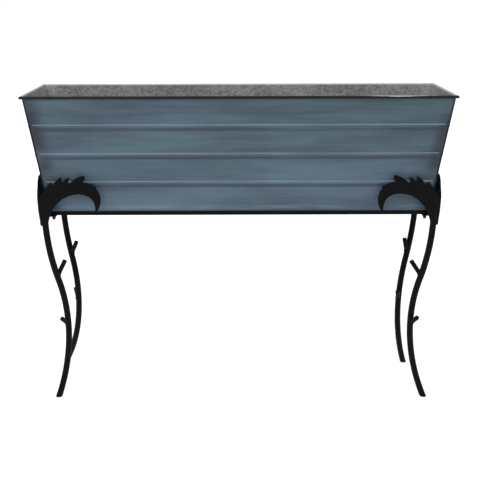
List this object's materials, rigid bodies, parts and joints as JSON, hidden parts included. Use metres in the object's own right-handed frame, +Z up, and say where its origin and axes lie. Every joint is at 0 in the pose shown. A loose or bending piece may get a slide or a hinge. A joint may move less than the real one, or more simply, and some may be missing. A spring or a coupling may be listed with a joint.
{
  "type": "raised planter on legs",
  "caption": "Long tapered sheet-metal planter box with a rolled rim and raised beads, lifted off a black steel stand with bowed twig legs and scalloped leaves.",
  "frame": {"origin": "on the ground, at the centre of the object's footprint", "axes": "+X along the box to the right as seen from the front, +Y to the back, +Z up"},
  "size_m": [0.895, 0.229, 0.685],
  "materials": {
    "slate_blue_sheet": "distressed slate-blue paint on galvanised sheet, satin, with darker edges; bare galvanised inside",
    "galvanised_sheet": "weathered galvanised steel with dull spangle",
    "black_coated_steel": "satin black powder coat",
    "black_fasteners": "black coated M4 fasteners"
  },
  "bodies": {
    "stand": {"leg_front_left": "black_coated_steel", "leg_front_right": "black_coated_steel", "leg_rear_left": "black_coated_steel", "leg_rear_right": "black_coated_steel", "twig_front_left_upper": "black_coated_steel", "twig_front_left_lower": "black_coated_steel", "twig_front_right_upper": "black_coated_steel", "twig_front_right_lower": "black_coated_steel", "twig_rear_left_upper": "black_coated_steel", "twig_rear_left_lower": "black_coated_steel", "twig_rear_right_upper": "black_coated_steel", "twig_rear_right_lower": "black_coated_steel", "leaf_front_left_long": "black_coated_steel", "leaf_front_left_side": "black_coated_steel", "leaf_front_right_long": "black_coated_steel", "leaf_front_right_side": "black_coated_steel", "leaf_rear_left_long": "black_coated_steel", "leaf_rear_left_side": "black_coated_steel", "leaf_rear_right_long": "black_coated_steel", "leaf_rear_right_side": "black_coated_steel", "front_bar": "black_coated_steel", "rear_bar": "black_coated_steel", "left_side_bar": "black_coated_steel", "right_side_bar": "black_coated_steel", "lug_front_left": "black_coated_steel", "lug_front_right": "black_coated_steel", "lug_rear_left": "black_coated_steel", "lug_rear_right": "black_coated_steel", "frame_screws": "black_fasteners", "dome_nuts": "black_fasteners"},
    "planter_box": {"front_panel": "slate_blue_sheet", "back_panel": "slate_blue_sheet", "left_end_panel": "slate_blue_sheet", "right_end_panel": "slate_blue_sheet", "bottom_panel": "galvanised_sheet", "rim_wire": "galvanised_sheet"}
  },
  "joints": [
    {"name": "box_lift", "type": "slide", "parent": "stand", "child": "planter_box", "axis": [0, 0, 1], "range_m": [0, 0.3]}
  ]
}
